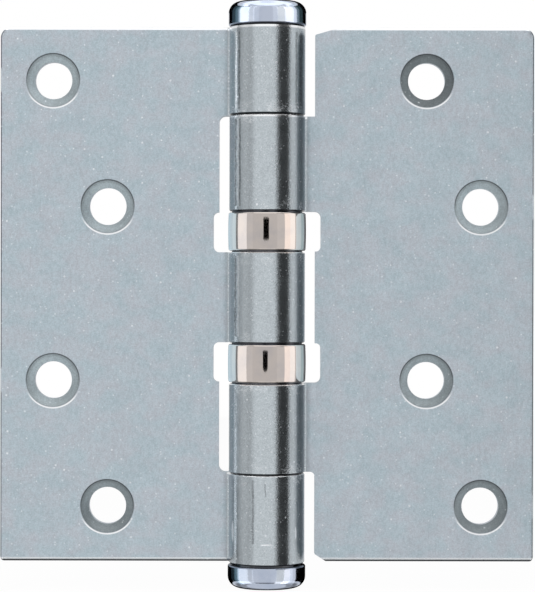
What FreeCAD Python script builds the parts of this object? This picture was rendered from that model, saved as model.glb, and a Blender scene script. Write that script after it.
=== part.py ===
# Ball bearing butt hinge, opened flat, in millimetres.
# The pin stands along Z with its middle at the origin. The three-knuckle leaf lies
# towards -X and the two-knuckle leaf towards +X. The countersunk faces look along -Y.

import FreeCAD, Part
import math
import os

# Leaves
leaf_height = 89.0
leaf_width = 44.5
sheet_thickness = 3.0
closed_gap = 2.0
top_corner_radius = 1.75
bottom_corner_radius = 0.7
front_edge_radius = 0.6

# Free inner corners of the two-knuckle leaf, as length along the leaf and depth
top_snip_length = 4.1
top_snip_depth = 1.2
bottom_snip_length = 1.9
bottom_snip_depth = 1.25

# Screw holes
screw_hole_radius = 3.1
countersink_radius = 4.42
countersink_half_angle = 45.0
outer_column_inset = 8.8
column_stagger = 9.1
end_row_inset = 9.0
row_step = 21.0
row_lift = 0.18

# Pin and rolled knuckles
pin_radius = 3.25
pin_clearance = 0.05
roll_seam = 0.25
roll_end_radius = 0.35
back_blend_radius = 2.0
knuckle_chamfer = 0.18
knuckle_gap = 0.12
upper_joint_level = 29.75
lower_joint_level = -29.6
middle_knuckle_length = 15.0
middle_knuckle_centre = -0.45

# Notches round the knuckles of the other leaf
knuckle_notch_clearance = 1.7
bearing_notch_clearance = 2.5
bearing_notch_step = 0.15
notch_corner_radius = 1.1
tab_corner_radius = 1.0
step_corner_radius = 0.85
lower_free_corner_radius = 0.8

# Bearing units
bearing_height = 6.8
shell_height = 6.3
shell_crown_radius = 6.45
shell_crown_rise = 0.08
shell_edge_chamfer = 0.3
shell_wall = 0.5
fit_clearance = 0.05
ball_count = 10
ball_turns = 12
ball_bands = 6
ball_clearance = 0.03
race_face_share = 0.75
cage_thickness_share = 0.44
cage_wall = 0.2
cage_clearance = 0.1
pocket_clearance = 0.06
pocket_sides = 8

# Caps
cap_radius = 6.45
cap_height = 4.3
cap_shoulder_radius = 1.9
cap_dome_rise = 0.2
cap_edge_chamfer = 0.2
cap_foot_radius = 5.9
cap_foot_height = 0.15
spigot_radius = 2.0
spigot_length = 2.4
spigot_chamfer = 0.3
spigot_clearance = 0.01
spigot_end_room = 0.2

# Levels and radii that follow
knuckle_bore_radius = pin_radius + pin_clearance
barrel_radius = knuckle_bore_radius + sheet_thickness
front_level = closed_gap / 2
back_level = front_level + sheet_thickness
half_height = leaf_height / 2
middle_top = middle_knuckle_centre + middle_knuckle_length / 2
middle_bottom = middle_knuckle_centre - middle_knuckle_length / 2
knuckle_notch = barrel_radius + knuckle_notch_clearance
bearing_notch = shell_crown_radius + bearing_notch_clearance
top_knuckle = (upper_joint_level + knuckle_gap / 2, half_height)
second_knuckle = (middle_top + bearing_height, upper_joint_level - knuckle_gap / 2)
middle_knuckle = (middle_bottom, middle_top)
fourth_knuckle = (lower_joint_level + knuckle_gap / 2, middle_bottom - bearing_height)
bottom_knuckle = (-half_height, lower_joint_level - knuckle_gap / 2)

X_AXIS = FreeCAD.Vector(1, 0, 0)
Y_AXIS = FreeCAD.Vector(0, 1, 0)
Z_AXIS = FreeCAD.Vector(0, 0, 1)
ORIGIN = FreeCAD.Vector(0, 0, 0)


def flat_point(x, y):
    """A point of a plan section, seen along the pin."""
    return FreeCAD.Vector(x, y, 0)


def section_point(radius, level):
    """A point of a section through the pin's axis."""
    return FreeCAD.Vector(radius, 0, level)


def line(start, end):
    return Part.LineSegment(start, end).toShape()


def arc_about(centre, start, end):
    """The shorter arc about a centre from one point to another."""
    middle = (start - centre) + (end - centre)
    middle.normalize()
    return Part.Arc(start, centre + middle * (start - centre).Length, end).toShape()


def closed_face(edges):
    return Part.Face(Part.Wire(edges))


def polygon_face(points):
    return Part.Face(Part.makePolygon(points + points[:1]))


def turned(edges):
    """A turned piece from the edges of its section, in order."""
    return closed_face(edges).revolve(ORIGIN, Z_AXIS, 360)


def turned_polygon(corners):
    """A turned piece from the corners of its section, as radius and level."""
    points = [section_point(*corner) for corner in corners]
    return polygon_face(points).revolve(ORIGIN, Z_AXIS, 360)


def edges_along_y(solid, x, z):
    """The edges of a sheet that run through its thickness at one place."""
    found = []
    for edge in solid.Edges:
        box = edge.BoundBox
        slim = box.XLength < 1e-4 and box.ZLength < 1e-4 and box.YLength > 1e-4
        if slim and abs(box.XMin - x) < 1e-4 and abs(box.ZMin - z) < 1e-4:
            found.append(edge)
    return found


def block(x_range, y_range, z_range):
    """A block between two places on each axis."""
    corner = FreeCAD.Vector(min(x_range), min(y_range), min(z_range))
    length = abs(x_range[1] - x_range[0])
    width = abs(y_range[1] - y_range[0])
    height = abs(z_range[1] - z_range[0])
    return Part.makeBox(length, width, height, corner)


def notch(side, reach, z_range, low_radius, high_radius):
    """The punch for one notch, with its corners on the sheet rounded as asked."""
    punch = block((0, side * reach), (front_level - 1, back_level + 1), z_range)
    for level, radius in zip(z_range, (low_radius, high_radius)):
        if radius > 0:
            punch = punch.makeFillet(radius, edges_along_y(punch, side * reach, level))
    return punch


def sheet_root():
    """How near the axis the flat sheet ends, halfway through the knuckle's wall."""
    outer = math.sqrt(barrel_radius ** 2 - back_level ** 2)
    inner = math.sqrt(knuckle_bore_radius ** 2 - front_level ** 2)
    return (outer + inner) / 2


def outer_front_edges(sheet, side):
    """The front edges round the sheet, apart from the one at the knuckles."""
    found = []
    for edge in sheet.Edges:
        box = edge.BoundBox
        in_front = box.YLength < 1e-4 and abs(box.YMin - front_level) < 1e-4
        at_root = box.XLength < 1e-4 and abs(box.XMin - side * sheet_root()) < 1e-4
        if in_front and not at_root:
            found.append(edge)
    return found


def blank(side):
    """The flat sheet of a leaf with its outer corners and front edges rounded."""
    spans = (side * sheet_root(), side * leaf_width), (front_level, back_level)
    sheet = block(spans[0], spans[1], (-half_height, half_height))
    top = edges_along_y(sheet, side * leaf_width, half_height)
    sheet = sheet.makeFillet(top_corner_radius, top)
    bottom = edges_along_y(sheet, side * leaf_width, -half_height)
    sheet = sheet.makeFillet(bottom_corner_radius, bottom)
    return sheet.makeFillet(front_edge_radius, outer_front_edges(sheet, side))


def screw_places(side):
    """Places of the four screws, the columns changing from row to row."""
    outer = leaf_width - outer_column_inset
    inner = outer - column_stagger
    first, second = (outer, inner) if side < 0 else (inner, outer)
    top_row = half_height - end_row_inset
    rows = (top_row, top_row - row_step, row_step - top_row, -top_row)
    columns = (first, second, first, second)
    return [(side * column, row + row_lift) for column, row in zip(columns, rows)]


def screw_hole(x, z):
    """The cutter for one countersunk screw hole."""
    slope = math.tan(math.radians(countersink_half_angle))
    depth = (countersink_radius - screw_hole_radius) / slope
    proud = 0.5
    mouth = FreeCAD.Vector(x, front_level - proud, z)
    mouth_radius = countersink_radius + proud * slope
    cone = Part.makeCone(mouth_radius, screw_hole_radius, depth + proud, mouth, Y_AXIS)
    drill = Part.makeCylinder(screw_hole_radius, sheet_thickness + 2 * proud, mouth, Y_AXIS)
    return cone.fuse(drill)


def knuckle(side, z_range):
    """One rolled knuckle: a ring split by the roll's seam, with its blend to the sheet."""
    low, high = z_range
    inner = knuckle_bore_radius
    outer = barrel_radius
    c = knuckle_chamfer
    corners = [(inner, low), (outer - c, low), (outer, low + c)]
    corners += [(outer, high - c), (outer - c, high), (inner, high)]
    ring = turned_polygon(corners)
    seam_span = (side * inner / 2, side * (outer + 1))
    ring = ring.cut(block(seam_span, (front_level - roll_seam, front_level), z_range))
    ring = ring.makeFillet(roll_end_radius, roll_end_edges(ring, side, z_range))
    return ring.fuse(back_blend(side, z_range))


def roll_end_edges(ring, side, z_range):
    """The outer long edge of the roll's end."""
    level = front_level - roll_seam
    place = side * math.sqrt(barrel_radius ** 2 - level ** 2)
    middle = (z_range[0] + z_range[1]) / 2
    found = []
    for edge in ring.Edges:
        box = edge.BoundBox
        upright = box.ZMin < middle < box.ZMax and box.XLength < 1e-4 and box.YLength < 1e-4
        if upright and abs(box.XMin - place) < 1e-3 and abs(box.YMin - level) < 1e-3:
            found.append(edge)
    return found


def back_blend(side, z_range):
    """The hollow blend between the sheet's back and the knuckle's outside."""
    centre_level = back_level + back_blend_radius
    centre_reach = barrel_radius + back_blend_radius
    centre_x = math.sqrt(centre_reach ** 2 - centre_level ** 2)
    share = barrel_radius / centre_reach
    on_sheet = flat_point(side * centre_x, back_level)
    on_ring = flat_point(side * centre_x * share, centre_level * share)
    inside = flat_point(on_ring.x, back_level - sheet_thickness / 4)
    centre = flat_point(side * centre_x, centre_level)
    web = closed_face([arc_about(centre, on_sheet, on_ring), line(on_ring, inside), line(inside, on_sheet)])
    web.translate(Z_AXIS * z_range[0])
    return web.extrude(Z_AXIS * (z_range[1] - z_range[0]))


def leaf(side, sheet, knuckles):
    """A leaf from its punched sheet: screw holes first, then its knuckles."""
    for place in screw_places(side):
        sheet = sheet.cut(screw_hole(*place))
    for z_range in knuckles:
        sheet = sheet.fuse(knuckle(side, z_range))
    return sheet.removeSplitter()


def three_knuckle_leaf():
    side = -1
    upper_step = second_knuckle[0] - bearing_notch_step
    lower_step = fourth_knuckle[1] + bearing_notch_step
    sheet = blank(side)
    punches = [
        notch(side, knuckle_notch, (middle_top, top_knuckle[0]), 0, notch_corner_radius),
        notch(side, bearing_notch, (middle_top, upper_step), tab_corner_radius, step_corner_radius),
        notch(side, bearing_notch, (lower_step, middle_bottom), step_corner_radius, tab_corner_radius),
        notch(side, knuckle_notch, (bottom_knuckle[1], middle_bottom), notch_corner_radius, 0),
    ]
    for punch in punches:
        sheet = sheet.cut(punch)
    return leaf(side, sheet, (top_knuckle, middle_knuckle, bottom_knuckle))


def snip(length, depth, level_sign):
    """The cutter for a free inner corner of the two-knuckle leaf."""
    edge = level_sign * half_height
    near = knuckle_notch - 1
    rise = depth / length
    points = [(near, edge - level_sign * depth - level_sign * rise), (near, edge + level_sign)]
    points += [(knuckle_notch + length + 1 / rise, edge + level_sign)]
    face = polygon_face([FreeCAD.Vector(x, front_level - 1, z) for x, z in points])
    return face.extrude(Y_AXIS * (sheet_thickness + 2))


def two_knuckle_leaf():
    side = 1
    upper_step = middle_top + bearing_notch_step
    lower_step = middle_bottom - bearing_notch_step
    sheet = blank(side)
    punches = [
        notch(side, knuckle_notch, (second_knuckle[1], half_height + 1), 0, 0),
        notch(side, bearing_notch, (upper_step, second_knuckle[0]), step_corner_radius, tab_corner_radius),
        notch(side, knuckle_notch, (fourth_knuckle[1], second_knuckle[0]), 0, 0),
        notch(side, bearing_notch, (fourth_knuckle[1], lower_step), tab_corner_radius, step_corner_radius),
        notch(side, knuckle_notch, (-half_height - 1, fourth_knuckle[0]), 0, lower_free_corner_radius),
        snip(top_snip_length, top_snip_depth, 1),
        snip(bottom_snip_length, bottom_snip_depth, -1),
    ]
    for punch in punches:
        sheet = sheet.cut(punch)
    return leaf(side, sheet, (second_knuckle, fourth_knuckle))


def hinge_pin():
    """The pin, flush with the outer knuckles, with a spigot at each end."""
    tip = half_height + spigot_length
    half = [(0, tip), (spigot_radius - spigot_chamfer, tip), (spigot_radius, tip - spigot_chamfer)]
    half += [(spigot_radius, half_height), (pin_radius, half_height)]
    return turned_polygon(half + [(radius, -level) for radius, level in reversed(half)])


def top_cap():
    """A domed button tip, seated on the top knuckle and pressed on the pin's spigot."""
    base = half_height
    top = base + cap_height
    socket = spigot_radius + spigot_clearance
    socket_top = base + spigot_length + spigot_end_room
    shoulder_reach = cap_radius - cap_shoulder_radius
    shoulder_top = top - cap_dome_rise
    shoulder_level = shoulder_top - cap_shoulder_radius
    corners = [(shoulder_reach, shoulder_top), (0, top), (0, socket_top), (socket, socket_top)]
    rim = base + cap_foot_height
    corners += [(socket, base), (cap_foot_radius, base), (cap_foot_radius, rim)]
    corners += [(cap_radius - cap_edge_chamfer, rim), (cap_radius, rim + cap_edge_chamfer)]
    corners += [(cap_radius, shoulder_level)]
    points = [section_point(*corner) for corner in corners]
    edges = [line(start, end) for start, end in zip(points, points[1:])]
    edges.append(arc_about(section_point(shoulder_reach, shoulder_level), points[-1], points[0]))
    return turned(edges)


def bottom_cap():
    return top_cap().rotate(ORIGIN, X_AXIS, 180)


def shell_bore():
    return shell_crown_radius - shell_crown_rise - shell_wall


def race_radius():
    return shell_bore() - fit_clearance


def pitch_radius():
    return (knuckle_bore_radius + race_radius()) / 2


def cage_reach():
    """Half the cage's width, clear of the pin and the shell."""
    return (race_radius() - knuckle_bore_radius) / 2 - cage_clearance


def pocket_radius():
    """How far a pocket's corners lie from its middle."""
    return cage_reach() - cage_wall


def ball_radius():
    """The largest ball that runs free in its pocket."""
    return pocket_radius() * math.cos(math.pi / pocket_sides) - pocket_clearance


def bearing_shell(middle):
    """The crowned shell round both races and the balls."""
    half = shell_height / 2
    end_radius = shell_crown_radius - shell_crown_rise
    c = shell_edge_chamfer
    corners = [(end_radius, half - c), (end_radius - c, half), (shell_bore(), half)]
    corners += [(radius, -height) for radius, height in reversed(corners)]
    points = [section_point(radius, middle + height) for radius, height in corners]
    edges = [line(start, end) for start, end in zip(points, points[1:])]
    crown = Part.Arc(points[-1], section_point(shell_crown_radius, middle), points[0])
    return turned(edges + [crown.toShape()])


def race(middle, direction):
    """The race above (+1) or below (-1) the balls, with its track for them."""
    face = ball_radius() * race_face_share
    track = (ball_radius() + ball_clearance) * math.sqrt(2)
    pitch = pitch_radius()
    end = bearing_height / 2
    corners = [(knuckle_bore_radius, face), (pitch - track + face, face), (pitch, track)]
    corners += [(pitch + track - face, face), (race_radius(), face)]
    corners += [(race_radius(), end), (knuckle_bore_radius, end)]
    return turned_polygon([(radius, middle + direction * height) for radius, height in corners])


def round_places(reach, count, level=0.0, start=0.0):
    """Places evenly spaced on a circle about the axis."""
    turns = [start + 2 * math.pi * index / count for index in range(count)]
    return [FreeCAD.Vector(reach * math.cos(turn), reach * math.sin(turn), level) for turn in turns]


def ball():
    """A ball with few flat faces, all their corners on its true radius."""
    radius = ball_radius()
    rows = []
    for band in range(1, ball_bands):
        height = math.pi * (band / ball_bands - 0.5)
        rows.append(round_places(radius * math.cos(height), ball_turns, radius * math.sin(height)))
    faces = []
    for index in range(ball_turns):
        after = (index + 1) % ball_turns
        faces.append(polygon_face([Z_AXIS * -radius, rows[0][after], rows[0][index]]))
        faces.append(polygon_face([Z_AXIS * radius, rows[-1][index], rows[-1][after]]))
        for low, high in zip(rows, rows[1:]):
            faces.append(polygon_face([low[index], low[after], high[after], high[index]]))
    return Part.Solid(Part.Shell(faces))


def ball_places(middle):
    return round_places(pitch_radius(), ball_count, middle)


def bearing_cage(middle):
    """A flat ring with a many-sided pocket for each ball."""
    thickness = 2 * ball_radius() * cage_thickness_share
    outer = pitch_radius() + cage_reach()
    inner = pitch_radius() - cage_reach()
    base = FreeCAD.Vector(0, 0, middle - thickness / 2)
    cage = Part.makeCylinder(outer, thickness, base)
    cage = cage.cut(Part.makeCylinder(inner, thickness, base))
    window = polygon_face(round_places(pocket_radius(), pocket_sides, -thickness, math.pi / pocket_sides))
    for place in ball_places(middle):
        punch = window.translated(place).extrude(Z_AXIS * 2 * thickness)
        cage = cage.cut(punch)
    return cage


def bearing(name, middle):
    """All pieces of one bearing unit, by node name."""
    pieces = {
        name + "_shell": bearing_shell(middle),
        name + "_top_race": race(middle, 1),
        name + "_bottom_race": race(middle, -1),
        name + "_cage": bearing_cage(middle),
    }
    for number, place in enumerate(ball_places(middle), start=1):
        pieces["%s_ball_%02d" % (name, number)] = ball().translated(place)
    return pieces


def hinge():
    """Every piece of the hinge, by node name."""
    pieces = {
        "three_knuckle_leaf": three_knuckle_leaf(),
        "two_knuckle_leaf": two_knuckle_leaf(),
        "hinge_pin": hinge_pin(),
        "top_cap": top_cap(),
        "bottom_cap": bottom_cap(),
    }
    pieces.update(bearing("upper_bearing", middle_top + bearing_height / 2))
    pieces.update(bearing("lower_bearing", middle_bottom - bearing_height / 2))
    return pieces


os.makedirs("parts", exist_ok=True)
for node, shape in hinge().items():
    shape.exportStep("parts/" + node + ".step")
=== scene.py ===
"""Ball bearing butt hinge: finishes, fine turned pieces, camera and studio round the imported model."""

import logging
import math
from dataclasses import dataclass, field
from enum import Enum
from typing import Any, Iterable, Sequence

import bmesh
import bpy
from mathutils import Matrix, Vector

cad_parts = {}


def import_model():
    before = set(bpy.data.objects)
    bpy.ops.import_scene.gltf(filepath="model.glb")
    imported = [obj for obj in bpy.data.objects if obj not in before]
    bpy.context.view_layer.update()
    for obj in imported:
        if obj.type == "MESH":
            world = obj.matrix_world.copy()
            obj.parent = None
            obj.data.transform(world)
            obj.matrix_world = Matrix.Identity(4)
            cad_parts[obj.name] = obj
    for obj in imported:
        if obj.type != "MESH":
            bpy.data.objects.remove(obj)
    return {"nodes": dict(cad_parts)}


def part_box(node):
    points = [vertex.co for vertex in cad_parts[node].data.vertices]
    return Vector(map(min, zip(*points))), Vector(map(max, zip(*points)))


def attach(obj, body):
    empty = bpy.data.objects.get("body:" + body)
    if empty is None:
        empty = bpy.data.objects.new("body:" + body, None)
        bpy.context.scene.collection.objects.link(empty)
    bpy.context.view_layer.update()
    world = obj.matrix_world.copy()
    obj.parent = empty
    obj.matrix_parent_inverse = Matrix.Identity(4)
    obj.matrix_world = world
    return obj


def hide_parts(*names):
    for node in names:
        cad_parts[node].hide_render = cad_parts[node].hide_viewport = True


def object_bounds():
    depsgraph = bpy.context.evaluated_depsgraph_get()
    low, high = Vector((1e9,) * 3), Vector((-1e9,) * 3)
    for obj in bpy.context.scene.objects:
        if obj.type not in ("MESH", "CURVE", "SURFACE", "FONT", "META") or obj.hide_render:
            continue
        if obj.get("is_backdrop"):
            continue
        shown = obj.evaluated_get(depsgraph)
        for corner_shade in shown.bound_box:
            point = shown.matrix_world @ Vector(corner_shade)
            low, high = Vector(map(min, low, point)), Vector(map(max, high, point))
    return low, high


logging.basicConfig(level=logging.INFO, format="%(message)s")
LOG = logging.getLogger("hinge")

MM = 0.001
PHOTO_SIZE = (535, 592)


class Leaf(Enum):
    """The two leaves, with the name of their CAD node and the side they lie on."""

    THREE_KNUCKLE = ("three_knuckle_leaf", -1)
    TWO_KNUCKLE = ("two_knuckle_leaf", 1)


class Unit(Enum):
    """The two bearing units, with the name of their CAD nodes and ball ring body."""

    UPPER = ("upper_bearing", "upper_ball_ring")
    LOWER = ("lower_bearing", "lower_ball_ring")


class PinEnd(Enum):
    """The two ends of the pin, with the cap's CAD node and the way it points."""

    TOP = ("top_cap", 1)
    BOTTOM = ("bottom_cap", -1)


class Group(Enum):
    """The groups of pieces that a studio light may be kept from."""

    LEAVES = "leaves"
    TOP_CAP = "top cap"
    BOTTOM_CAP = "bottom cap"
    UPPER_SHELL = "upper shell"
    LOWER_SHELL = "lower shell"
    INSIDE = "inside"


EVERY = frozenset(Group)
SHELLS = frozenset((Group.UPPER_SHELL, Group.LOWER_SHELL))
TOP = frozenset((Group.TOP_CAP,))
BOTTOM = frozenset((Group.BOTTOM_CAP,))
ONLY_LEAVES = frozenset((Group.LEAVES, Group.INSIDE))


def linear(hex_colour: str, strength: float = 1.0) -> tuple[float, float, float, float]:
    """Turn an sRGB hex colour into linear values.

    Args:
        hex_colour: The colour as "#rrggbb".
        strength: A factor on the linear values.

    Returns:
        Linear red, green, blue and an alpha of 1.
    """
    values = []
    for place in (1, 3, 5):
        share = int(hex_colour[place:place + 2], 16) / 255
        value = share / 12.92 if share <= 0.04045 else ((share + 0.055) / 1.055) ** 2.4
        values.append(value * strength)
    return values[0], values[1], values[2], 1.0


def add_node(tree: bpy.types.NodeTree, kind: str, inputs: dict[Any, Any] | None = None, **settings: Any) -> bpy.types.Node:
    """Add one node with its settings, and set or link its inputs.

    Args:
        tree: The node tree to add to.
        kind: The node's type name.
        inputs: A value or an output socket for each input, by name or number.
        settings: Properties of the node.

    Returns:
        The new node.
    """
    node = tree.nodes.new(kind)
    for name, value in settings.items():
        setattr(node, name, value)
    for key, value in (inputs or {}).items():
        socket = node.inputs[key]
        if isinstance(value, bpy.types.NodeSocket):
            tree.links.new(value, socket)
        else:
            socket.default_value = value
    return node


def new_material(name: str) -> tuple[bpy.types.Material, bpy.types.NodeTree]:
    """Make an empty node material with its output.

    Args:
        name: The material's name.

    Returns:
        The material and its node tree.
    """
    material = bpy.data.materials.new(name)
    material.use_nodes = True
    material.node_tree.nodes.clear()
    return material, material.node_tree


def math_node(tree: bpy.types.NodeTree, operation: str, *values: Any) -> bpy.types.NodeSocket:
    """Join values or sockets with one Math node and return its output."""
    return add_node(tree, "ShaderNodeMath", dict(enumerate(values)), operation=operation).outputs[0]


def smooth_step(tree: bpy.types.NodeTree, value: Any, low: float, high: float, to: tuple[float, float] = (0, 1)) -> Any:
    """Map a socket smoothly from one range to another and return the output socket."""
    inputs = {"Value": value, "From Min": low, "From Max": high, "To Min": to[0], "To Max": to[1]}
    return add_node(tree, "ShaderNodeMapRange", inputs, interpolation_type="SMOOTHSTEP").outputs[0]


def mix_colour(tree: bpy.types.NodeTree, share: Any, first: Any, second: Any) -> bpy.types.NodeSocket:
    """Mix two colours and return the output socket."""
    return add_node(tree, "ShaderNodeMix", {0: share, 6: first, 7: second}, data_type="RGBA").outputs[2]


def noise(tree: bpy.types.NodeTree, where: Any, grain: float, detail: float = 2.0, stretch: Sequence[float] = (1, 1, 1)) -> Any:
    """Add a noise whose blotches have a real size.

    Args:
        tree: The node tree.
        where: The coordinate socket, in metres.
        grain: The size of a blotch in millimetres.
        detail: How many finer layers it has.
        stretch: How much longer a blotch is on each axis.

    Returns:
        The noise value's socket.
    """
    scale = [1 / (grain * MM * longer) for longer in stretch]
    placed = add_node(tree, "ShaderNodeMapping", {"Vector": where, "Scale": scale}).outputs[0]
    return add_node(tree, "ShaderNodeTexNoise", {"Vector": placed, "Scale": 1.0, "Detail": detail}).outputs["Fac"]


@dataclass(frozen=True)
class ZincPlate:
    """Bright zinc on pressed steel: a pale satin blue-grey on the flats, with spangled white specks.

    The rolled knuckles were drawn through the curling die, so they are glossier and grainier, and
    rubbed pale by their neighbours at the ends. The countersinks get a paler colour with a tone for each
    hole, lighter or darker by the way they face, as painted light. Painted highlights and painted shade
    also lie on the knuckles' ends and fronts, on the countersinks' rims and along the leaves' head and foot.
    """

    name: str = "bright zinc plated steel"
    flat_colour: str = "#b9c4cc"
    flat_warm: str = "#bdc3cb"
    flat_cool: str = "#b3c3cb"
    # The countersinks' paler colour; rim_lines scales it for each hole and, as painted light, by the way each faces.
    cut_colour: str = "#ccd6da"
    knuckle_colour: str = "#b8c0c5"
    speck_colour: str = "#f2f6fa"
    rub_colour: str = "#dde2e6"
    flat_roughness: float = 0.42
    knuckle_roughness: float = 0.19
    knuckle_reach_mm: float = 6.5
    # Painted highlight colour: for the knuckles' chamfers and lips, the bright rim lines and the bright reflection
    # lines.
    highlight_colour: str = "#f8fafc"
    # Painted shade colour: for the knuckles' chamfers and outer ends, the dark rim lines and the dark reflection lines.
    shade_colour: str = "#33373b"
    speck_sizes_mm: tuple[tuple[float, float, float, float], ...] = ((0.8, 0.19, 0.35, 0.7), (1.6, 0.25, 0.5, 1.2))
    knuckle_specks_mm: tuple[tuple[float, float, float, float], ...] = ((0.45, 0.12, 0.55, 0.75),)
    # Painted highlights on the knuckles' lips: the top of each and how far down it reaches.
    lips_mm: tuple[tuple[float, float], ...] = ((44.3, 0.36), (29.66, 0.4), (-29.69, 0.17))
    # Above this height, at the pin's two outer ends, the knuckles are painted shade that stands for the gap under each
    # cap.
    gap_shade_level_mm: float = 44.32
    holes_mm: tuple[tuple[float, float, float], ...] = (
        (-35.7, 35.68, 1.2), (-26.6, 14.68, 1.2), (-35.7, -14.32, 1.2), (-26.6, -35.32, 0.85),
        (26.6, 35.68, 0.6), (35.7, 14.68, 1.15), (26.6, -14.32, 1.0), (35.7, -35.32, 0.78))
    # The direction of the countersinks' painted light: faces leaning this way are painted lighter.
    painted_light_lean: tuple[float, float, float] = (0.23, 0.0, -0.28)
    countersink_mm: float = 4.42
    # Levels of the painted shade line along the leaves' foot and of the painted highlight lines at foot and head.
    foot_edge_mm: float = -44.19
    head_edge_mm: float = 44.05
    knuckle_ends_mm: tuple[float, ...] = (29.75, 13.9, 7.0, -7.9, -14.8, -29.6)
    side_edge_mm: float = 44.0
    # Painted glints on the lowest knuckle: place across, height, half width and half height.
    painted_glints_mm: tuple[tuple[float, float, float, float], ...] = (
        (0.0, -41.0, 1.15, 0.13), (-5.6, -39.1, 0.2, 2.0), (4.8, -39.2, 0.16, 1.2))
    # Dark painted reflection lines on the knuckles' fronts: place across, low end, high end, half width and share.
    shade_lines_mm: tuple[tuple[float, float, float, float, float], ...] = (
        (-4.65, 30.6, 43.3, 0.2, 0.55), (4.75, 30.6, 43.3, 0.2, 0.4), (5.5, 30.6, 42.9, 0.4, 0.5),
        (-5.2, 14.6, 29.0, 0.18, 0.6), (-4.5, 14.6, 29.0, 0.18, 0.5),
        (-5.2, -6.9, 6.4, 0.2, 0.65), (-5.15, -22.0, -15.6, 0.16, 0.3),
        (-5.5, -43.6, -30.4, 0.18, 0.25), (-4.75, -43.6, -30.4, 0.16, 0.25),
        (-2.22, -40.9, -30.4, 0.26, 0.42), (-0.2, -33.1, -31.0, 0.16, 0.4))
    # Bright painted reflection lines on the knuckles' fronts, listed the same way.
    highlight_lines_mm: tuple[tuple[float, float, float, float, float], ...] = (
        (-5.12, 30.6, 43.3, 0.16, 0.6), (-4.8, 14.6, 29.0, 0.18, 0.5), (-4.75, -6.9, 6.4, 0.2, 0.5))

    def build(self) -> bpy.types.Material:
        """Make the material."""
        material, tree = new_material(self.name)
        coordinates = add_node(tree, "ShaderNodeTexCoord").outputs
        where = coordinates["Object"]
        parts = add_node(tree, "ShaderNodeSeparateXYZ", {0: where}).outputs
        reach = math_node(tree, "SQRT", math_node(tree, "ADD", math_node(tree, "MULTIPLY", parts[0], parts[0]),
                                                  math_node(tree, "MULTIPLY", parts[1], parts[1])))
        knuckle = smooth_step(tree, reach, self.knuckle_reach_mm * MM, (self.knuckle_reach_mm + 0.4) * MM, (1, 0))
        clouds = noise(tree, where, 2.8, 4.0, (1.3, 1, 1))
        colour = mix_colour(tree, smooth_step(tree, clouds, 0.35, 0.65), linear(self.flat_cool), linear(self.flat_warm))
        streaks = noise(tree, where, 0.55, 3.0, (1, 1, 1.5))
        colour = mix_colour(tree, smooth_step(tree, streaks, 0.3, 0.7, (0.1, 0.6)), colour, linear(self.flat_colour))
        cut = self.cut_faces(tree, coordinates["Normal"])
        bright, dark, tone = self.rim_lines(tree, parts, coordinates["Normal"])
        # The countersinks' colour, scaled by their tone and their painted light.
        pale = add_node(tree, "ShaderNodeVectorMath", {0: linear(self.cut_colour)[:3], "Scale": tone}, operation="SCALE").outputs[0]
        colour = mix_colour(tree, cut, colour, pale)
        colour = mix_colour(tree, knuckle, colour, linear(self.knuckle_colour))
        grain = math_node(tree, "ADD", noise(tree, where, 0.24, 3.0), math_node(tree, "MULTIPLY", streaks, 0.5))
        shade = smooth_step(tree, grain, 0.45, 1.05, (0.87, 1.12))
        colour = add_node(tree, "ShaderNodeVectorMath", {0: colour, "Scale": shade}, operation="SCALE").outputs[0]
        rub = math_node(tree, "MULTIPLY", self.rubbed(tree, where, parts[2]), knuckle)
        colour = mix_colour(tree, rub, colour, linear(self.rub_colour))
        # Painted glints, drawn in the speck colour.
        painted_glint = self.painted_glints(tree, parts)
        sparkle = math_node(tree, "MULTIPLY", self.specks(tree, where, self.knuckle_specks_mm), knuckle)
        speck = math_node(tree, "MAXIMUM", self.specks(tree, where, self.speck_sizes_mm), sparkle)
        speck = math_node(tree, "MAXIMUM", speck, painted_glint)
        colour = mix_colour(tree, speck, colour, linear(self.speck_colour))
        # Painted shade: the leaf darkens towards the barrel, where the two meet.
        corner_shade = smooth_step(tree, reach, 6.4 * MM, 7.6 * MM, (0.72, 1.0))
        corner_shade = math_node(tree, "MAXIMUM", corner_shade, knuckle)
        colour = add_node(tree, "ShaderNodeVectorMath", {0: colour, "Scale": corner_shade}, operation="SCALE").outputs[0]
        # Painted highlights and painted shade on the knuckles' chamfers and ends.
        highlight, shade = self.knuckle_ends(tree, coordinates["Normal"], parts[2])
        highlight, shade = (math_node(tree, "MULTIPLY", line, knuckle) for line in (highlight, shade))
        flat = math_node(tree, "MULTIPLY", math_node(tree, "SUBTRACT", 1.0, knuckle), math_node(tree, "LESS_THAN", parts[1], 0.0021))
        highlight = math_node(tree, "MAXIMUM", highlight, math_node(tree, "MULTIPLY", bright, flat))
        shade = math_node(tree, "MAXIMUM", shade, math_node(tree, "MULTIPLY", dark, flat))
        # Painted reflections: the dark and the bright lines along the knuckles' fronts.
        pressed, polished = (math_node(tree, "MULTIPLY", self.marks(tree, where, parts, places), knuckle)
                             for places in (self.shade_lines_mm, self.highlight_lines_mm))
        shade = math_node(tree, "MAXIMUM", shade, pressed)
        highlight = math_node(tree, "MAXIMUM", highlight, polished)
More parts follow.
